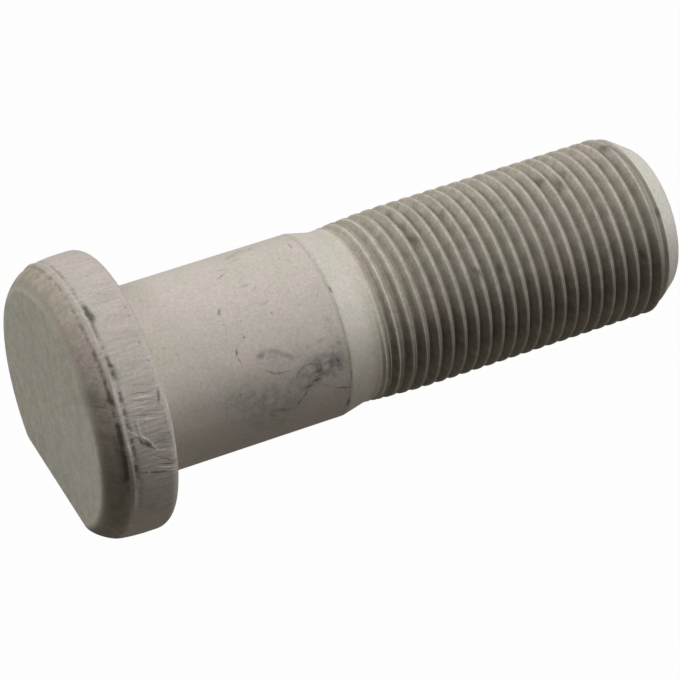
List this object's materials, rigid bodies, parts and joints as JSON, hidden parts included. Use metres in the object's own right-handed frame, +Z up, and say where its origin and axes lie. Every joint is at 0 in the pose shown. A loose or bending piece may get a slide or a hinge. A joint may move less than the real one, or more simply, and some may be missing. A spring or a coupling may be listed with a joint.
{
  "type": "wheel bolt",
  "caption": "Press-in wheel bolt: round forged head with one flat, plain shank and a fine right-hand rolled thread, lying on the flat of its head.",
  "frame": {"origin": "middle of the bolt's bounding box in plan, at the level of the ground it lies on", "axes": "+X from the head towards the threaded end, +Z up with the head's flat on the ground, +Y level across the bolt; the bolt's own axis dips 0.89 degrees towards the threaded end, because the flat stands 0.9 mm further from the axis than the thread's crests"},
  "size_m": [0.071, 0.0302, 0.0261],
  "materials": {
    "coated_steel": "forged and rolled steel with a dull, warm grey zinc-flake coating, scuffed and a little dirty"
  },
  "bodies": {
    "root": {"wheel_bolt": "coated_steel"}
  },
  "joints": []
}
